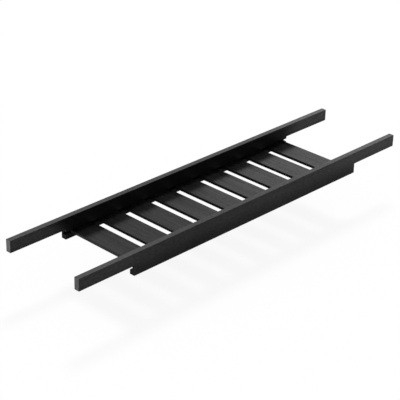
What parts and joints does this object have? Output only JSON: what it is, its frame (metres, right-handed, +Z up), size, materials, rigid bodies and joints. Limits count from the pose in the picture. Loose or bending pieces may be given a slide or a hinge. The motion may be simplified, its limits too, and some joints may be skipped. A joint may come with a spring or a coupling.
{
  "type": "bath caddy",
  "caption": "Slatted rack that lies across a bathtub: two deep side rails whose thin end arms rest on the rim, with flat slats and drain gaps between them.",
  "frame": {"origin": "centre of the rack in plan, on the plane of the rails' undersides", "axes": "+X along the rails to the right-hand arms, +Y from the near rail to the far rail, +Z up, out of the tray"},
  "size_m": [0.7, 0.157, 0.036],
  "materials": {
    "rail_wood": "charcoal stain under a thin satin varnish, fine grain along the rail",
    "slat_wood": "charcoal stain under a thin satin varnish, fine grain along the slat",
    "brad_steel": "plain drawn steel, heads sunk 0.4 mm into the underside of the rail"
  },
  "bodies": {
    "root": {"rail_near": "rail_wood", "rail_far": "rail_wood", "slat_1": "slat_wood", "slat_2": "slat_wood", "slat_3": "slat_wood", "slat_4": "slat_wood", "slat_5": "slat_wood", "slat_6": "slat_wood", "slat_7": "slat_wood", "slat_8": "slat_wood", "slat_9": "slat_wood", "brad_near_1": "brad_steel", "brad_near_2": "brad_steel", "brad_near_3": "brad_steel", "brad_near_4": "brad_steel", "brad_near_5": "brad_steel", "brad_near_6": "brad_steel", "brad_near_7": "brad_steel", "brad_near_8": "brad_steel", "brad_near_9": "brad_steel", "brad_far_1": "brad_steel", "brad_far_2": "brad_steel", "brad_far_3": "brad_steel", "brad_far_4": "brad_steel", "brad_far_5": "brad_steel", "brad_far_6": "brad_steel", "brad_far_7": "brad_steel", "brad_far_8": "brad_steel", "brad_far_9": "brad_steel"}
  },
  "joints": []
}
